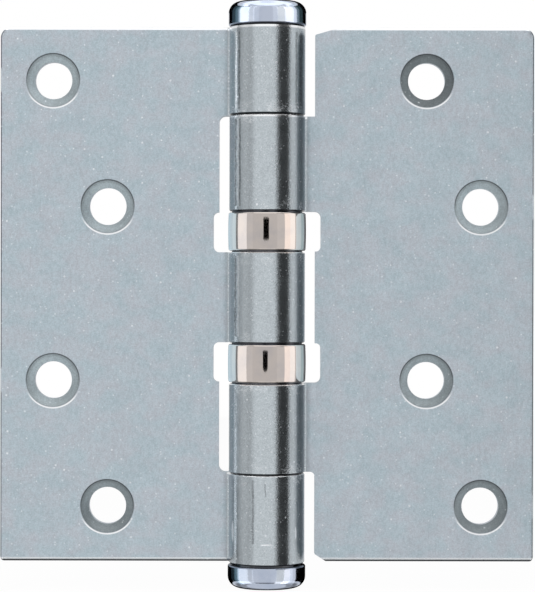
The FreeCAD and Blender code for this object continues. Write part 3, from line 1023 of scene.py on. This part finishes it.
@dataclass(frozen=True)
class Slot:
    """The dark gap between the studio's front walls, as one bearing shell mirrors it.

    All other pieces see it as lit as the wall behind it.
    """

    name: str
    low_mm: float
    high_mm: float
    dark_to: Group
    left: float = -11.8
    right: float = 6.4
    waist: float = 0.13
    round_share: tuple[float, float] = (0.07, 0.07)
    reach: float = 0.2
    strength: float = 0.98

    def build(self, groups: "PieceGroups") -> bpy.types.Object:
        """Make the slot's card with its rounded, slightly flared ends.

        Args:
            groups: The pieces by group.

        Returns:
            The card.
        """
        rows = 40
        middle, half = (self.left + self.right) / 2, (self.right - self.left) / 2
        places = []
        for row in range(rows + 1):
            share = (1 - math.cos(math.pi * row / rows)) / 2
            from_end = min(1.0, share / self.round_share[0], (1 - share) / self.round_share[1])
            width = half * math.sqrt(max(0.0, 1 - (1 - from_end) ** 2))
            width *= 1 - self.waist * (1 - abs(2 * share - 1) ** 3)
            for side in (-1, 1):
                turn = math.radians(middle + side * width)
                level = self.low_mm + (self.high_mm - self.low_mm) * share
                places.append((self.reach * math.sin(turn), -self.reach * math.cos(turn), level * MM))
        faces = [(2 * r, 2 * r + 1, 2 * r + 3, 2 * r + 2) for r in range(rows)]
        card = glowing_card(self.name, places, faces, "#ffffff", self.strength)
        groups.link(card, EVERY - {self.dark_to})
        return card


def glowing_card(name: str, places: Sequence[Sequence[float]], faces: Sequence[Sequence[int]], colour: str, strength: float) -> bpy.types.Object:
    """Make a stage card that glows evenly and that the camera doesn't see.

    Args:
        name: The card's name.
        places: Its points in metres.
        faces: Its faces, as numbers of points.
        colour: The colour of its light.
        strength: How bright it looks, where 1 is white.

    Returns:
        The card.
    """
    mesh = bpy.data.meshes.new(name)
    mesh.from_pydata(places, [], faces)
    material, tree = new_material(name)
    glow = add_node(tree, "ShaderNodeEmission", {"Color": linear(colour), "Strength": strength})
    add_node(tree, "ShaderNodeOutputMaterial", {0: glow.outputs[0]})
    mesh.materials.append(material)
    card = bpy.data.objects.new(name, mesh)
    bpy.context.scene.collection.objects.link(card)
    card.visible_camera = False
    card.visible_shadow = False
    card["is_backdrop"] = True
    return card


@dataclass
class PieceGroups:
    """The pieces of each group, and the collections that keep a light to some of them."""

    pieces: dict[Group, list[bpy.types.Object]]
    sets: dict[frozenset[Group], bpy.types.Collection] = field(default_factory=dict)

    def link(self, light: bpy.types.Object, seen: frozenset[Group]) -> None:
        """Keep a light or a card to the pieces of some groups.

        Args:
            light: The light or card.
            seen: The groups that see it.
        """
        if seen == EVERY:
            return
        if seen not in self.sets:
            names = sorted(group.value for group in seen)
            self.sets[seen] = bpy.data.collections.new("seen by " + ", ".join(names))
            for group in seen:
                for piece in self.pieces[group]:
                    self.sets[seen].objects.link(piece)
        light.light_linking.receiver_collection = self.sets[seen]


@dataclass
class Studio:
    """The pale floor, the white surroundings, and the cards and panels that shape the reflections."""

    floor_level: float
    cards: tuple[Card | Slot, ...] = (
        Card("left grey wall", -91, -62, 0.72),
        Card("left grey wall return", -62, -43, 0.64),
        Card("left dark flag", -105, -91, 0.08),
        Card("left rear slit", -112, -105, 1.0, seen=EVERY - TOP - BOTTOM),
        Card("left rear flag", -148, -112, 0.75, seen=ONLY_LEAVES | SHELLS),
        Card("left rear flag end", -158, -148, 0.75, seen=ONLY_LEAVES),
        Card("front wall", -43, 30, 0.98),
        Slot("upper slot", 3.56, 31.0, Group.UPPER_SHELL),
        Slot("lower slot", -27.1, -1.76, Group.LOWER_SHELL, left=-12.6, right=3.6, round_share=(0.25, 0.08)),
        Card("right dark flag", 30, 73, 0.05),
        Card("right bright card", 73, 95, 1.1),
        Card("right rear flag", 97, 148, 0.75, seen=ONLY_LEAVES | SHELLS),
        Card("right rear flag end", 148, 158, 0.75, seen=ONLY_LEAVES),
        Card("rear flag", 158, 202, 0.75, low=-55, high=12, seen=ONLY_LEAVES | TOP),
        Card("high rear flag", 158, 202, 0.75, low=12, high=60, seen=ONLY_LEAVES),
        Card("overhead front", -75, 75, 1.0, low=42, high=76, reach=0.52),
        Card("underside", -180, 180, 0.5, low=-89, high=-48, reach=0.55, seen=ONLY_LEAVES | BOTTOM),
    )
    panels: tuple[Panel, ...] = (
        Panel("left side softbox", -99, -91, 1.65, seen=SHELLS),
        Panel("left side softbox return", -91, -63, 1.08, seen=SHELLS),
        Panel("left grey softbox", -63, -43, 0.42, seen=SHELLS),
        Panel("right front softbox", 30, 54, 1.02, seen=SHELLS),
        Panel("right side softbox", 54, 73, 1.9, colour="#fff6f0", seen=SHELLS),
        Panel("right side softbox return", 73, 92, 0.9, colour="#fffaf4", seen=SHELLS),
        Panel("shell overhead softbox", -60, 60, 1.2, low=24, high=104, seen=SHELLS),
        Panel("shell floor glow", -60, 60, 0.9, low=-47, high=-22, seen=SHELLS),
        Panel("lip overhead softbox", -60, 60, 1.2, low=80, high=110, seen=ONLY_LEAVES),
        Panel("cap overhead softbox", -42, 42, 1.0, low=42, high=112, seen=TOP),
        Panel("cap underside softbox", -72, 72, 0.5, low=-110, high=-50, seen=BOTTOM),
    )
    cap_panels: tuple[tuple[str, float, float, float, float, str], ...] = (
        ("left cap rear glow", -128, -110, 0.1, 0.04, "#c4f4ff"),
        ("left cap rear shade", -110, -96, 0.26, 0.28, "#c0f4ff"),
        ("left cap rear return", -96, -88, 0.7, 0.9, "#e6fbff"),
        ("left cap softbox", -88, -57, 1.5, 0.85, "#fbfcf8"),
        ("left cap shade", -57, -40, 0.65, 0.35, "#fffdf6"),
        ("left cap half shade", -40, -26, 0.2, 0.02, "#fffdf6"),
        ("right cap half shade", 16, 30, 0.2, 0.05, "#fffdf6"),
        ("right cap shade", 30, 54, 1.4, 1.1, "#fffcf2"),
        ("right cap softbox", 54, 73, 2.1, 1.7, "#fffaf4"),
        ("right cap softbox return", 73, 84, 1.0, 0.3, "#fffdfc"),
        ("right cap rear return", 84, 93, 0.25, -0.3, "#ffffff"),
        ("right cap rear shade", 95, 108, 0.34, 0.0, "#e4fbff"),
        ("right cap rear glow", 108, 128, 0.08, 0.0, "#ccffff"),
    )
    glows: tuple[LeafGlow, ...] = (
        LeafGlow("left near glow", -10.6, -6.6, 0.9, SHELLS, colour="#cfeeff"),
        LeafGlow("left leaf glow", -20.0, -10.6, 1.12, SHELLS, colour="#d6f2ff"),
        LeafGlow("right near glow", 8.3, 11.4, 0.75, SHELLS, colour="#d6f7ff"),
        LeafGlow("right leaf glow", 11.4, 44.0, 1.12, SHELLS, colour="#e2f7ff"),
        LeafGlow("left leaf glint", -18.0, -14.5, 1.3, ONLY_LEAVES, half_height_mm=44.0),
    )

    def build(self, groups: PieceGroups) -> None:
        """Set up the world, the floor, the cards and the panels.

        Args:
            groups: The pieces by group.
        """
        self.world()
        self.floor()
        lights = self.cards + self.panels + self.glows + self.round_caps()
        for light in lights:
            light.build(groups)
        LOG.info("studio: floor, world, %d cards and lights", len(lights))

    def round_caps(self) -> tuple[Panel, ...]:
        """Stand the softboxes that the caps mirror, high for the top one and low for the bottom one."""
        made = []
        for name, start, end, top, bottom, colour in self.cap_panels:
            for way, strength, seen in ((1, top, TOP), (-1, bottom, BOTTOM)):
                low, high = sorted((-25.0 * way, 50.0 * way))
                if strength > 0:
                    made.append(Panel("%s %+d" % (name, way), start, end, strength, low, high, colour=colour, seen=seen))
        return tuple(made)

    def world(self) -> None:
        """White for the camera and, between a dark floor and ceiling, for reflections; a plain soft light else."""
        world = bpy.data.worlds.new("white surroundings")
        bpy.context.scene.world = world
        world.use_nodes = True
        tree = world.node_tree
        tree.nodes.clear()
        path = add_node(tree, "ShaderNodeLightPath").outputs
        mirrored = math_node(tree, "MAXIMUM", path["Is Glossy Ray"], path["Is Transmission Ray"])
        towards = add_node(tree, "ShaderNodeTexCoord").outputs["Generated"]
        rise = add_node(tree, "ShaderNodeSeparateXYZ", {0: towards}).outputs[2]
        below = smooth_step(tree, rise, -0.62, -0.48, (0.3, 1.0))
        above = smooth_step(tree, rise, 0.965, 0.985, (1.0, 0.5))
        seen = math_node(tree, "MULTIPLY", math_node(tree, "MINIMUM", below, above), mirrored)
        soft = smooth_step(tree, math_node(tree, "MAXIMUM", mirrored, path["Is Camera Ray"]), 0, 1, (0.8, 0.0))
        strength = math_node(tree, "ADD", math_node(tree, "ADD", seen, path["Is Camera Ray"]), soft)
        sky = add_node(tree, "ShaderNodeBackground", {"Color": (1, 1, 1, 1), "Strength": strength})
        add_node(tree, "ShaderNodeOutputWorld", {0: sky.outputs[0]})

    def floor(self) -> None:
        """A wide pale floor that fades into the white and keeps the hinge's shadow."""
        mesh = bpy.data.meshes.new("floor")
        reach = 3.0
        mesh.from_pydata([(x * reach, y * reach, self.floor_level) for x, y in ((-1, -1), (1, -1), (1, 1), (-1, 1))],
                         [], [(0, 1, 2, 3)])
        material, tree = new_material("matt white floor")
        path = add_node(tree, "ShaderNodeLightPath").outputs
        shown = math_node(tree, "MAXIMUM", math_node(tree, "MAXIMUM", path["Is Camera Ray"], path["Is Glossy Ray"]),
                          path["Is Transmission Ray"])
        matt = add_node(tree, "ShaderNodeBsdfDiffuse", {"Color": (0.8, 0.8, 0.8, 1)})
        glow = add_node(tree, "ShaderNodeEmission", {"Strength": 1.03})
        share = math_node(tree, "MULTIPLY", shown, 0.93)
        both = add_node(tree, "ShaderNodeMixShader", {0: share, 1: matt.outputs[0], 2: glow.outputs[0]})
        add_node(tree, "ShaderNodeOutputMaterial", {0: both.outputs[0]})
        mesh.materials.append(material)
        floor = bpy.data.objects.new("floor", mesh)
        bpy.context.scene.collection.objects.link(floor)
        floor.visible_glossy = False
        floor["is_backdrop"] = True


@dataclass(frozen=True)
class Viewpoint:
    """The photograph's viewpoint, found from the screw holes and the leaves' outlines."""

    place_mm: tuple[float, float, float] = (0.28, -400.0, 2.5)
    yaw: float = 0.028
    pitch: float = -0.390
    roll: float = 0.117
    lens: float = 146.29

    def build(self) -> bpy.types.Object:
        """Make the camera and make it the scene's."""
        data = bpy.data.cameras.new("camera")
        data.lens = self.lens
        data.sensor_width = 36
        data.clip_start, data.clip_end = 0.05, 10
        camera = bpy.data.objects.new("camera", data)
        bpy.context.scene.collection.objects.link(camera)
        turn = (Matrix.Rotation(math.radians(self.yaw), 4, "Z") @ Matrix.Rotation(math.radians(90 + self.pitch), 4, "X")
                @ Matrix.Rotation(math.radians(self.roll), 4, "Z"))
        camera.matrix_world = Matrix.Translation(Vector(self.place_mm) * MM) @ turn
        bpy.context.scene.camera = camera
        LOG.info("camera: lens %.1f mm at %s mm", self.lens, self.place_mm)
        return camera


def main() -> None:
    """Build the scene in order: camera, pieces, studio."""
    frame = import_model()
    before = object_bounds()
    bpy.context.scene.view_settings.view_transform = "Standard"
    nodes = frame["nodes"]
    finishes = Finishes()
    Viewpoint().build()
    leaves = [DressedLeaf(leaf, finishes).build(nodes) for leaf in Leaf]
    caps = [ButtonTip(end, finishes).build() for end in PinEnd]
    upper, lower = (BearingUnit(unit, finishes).build(nodes) for unit in Unit)
    pin = PinDress(finishes).build(nodes)
    groups = PieceGroups({Group.LEAVES: leaves, Group.TOP_CAP: caps[:1], Group.BOTTOM_CAP: caps[1:],
                          Group.UPPER_SHELL: [upper], Group.LOWER_SHELL: [lower], Group.INSIDE: [pin]})
    Studio(before[0].z - 0.0001).build(groups)


if __name__ == "__main__":
    main()
